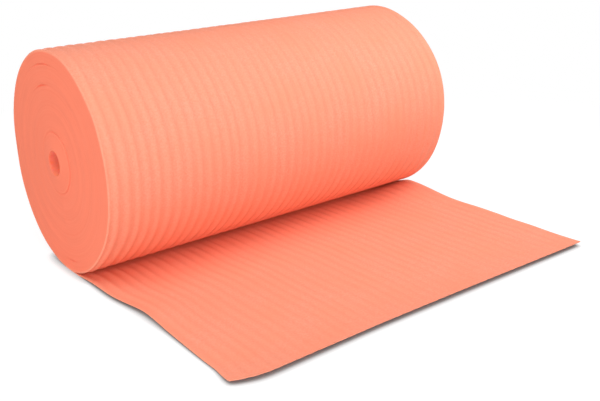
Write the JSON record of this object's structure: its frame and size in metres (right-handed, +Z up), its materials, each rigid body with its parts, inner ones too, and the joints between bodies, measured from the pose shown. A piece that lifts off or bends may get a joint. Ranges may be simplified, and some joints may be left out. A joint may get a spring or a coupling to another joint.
{
  "type": "ribbed polyethylene foam underlay roll",
  "caption": "Roll of thin ribbed polyethylene foam underlay lying on its side, coreless bore through the middle, with its loose end unrolled flat on the floor in front.",
  "frame": {"origin": "on the floor under the roll's axis, at mid-width of the sheet", "axes": "+X along the roll's axis, -Y the way the loose end runs out, +Z up"},
  "size_m": [1.0075, 0.9524, 0.5154],
  "materials": {
    "foam": "closed-cell polyethylene foam, salmon orange, soft satin skin"
  },
  "bodies": {
    "root": {"foam_roll": "foam"}
  },
  "joints": []
}
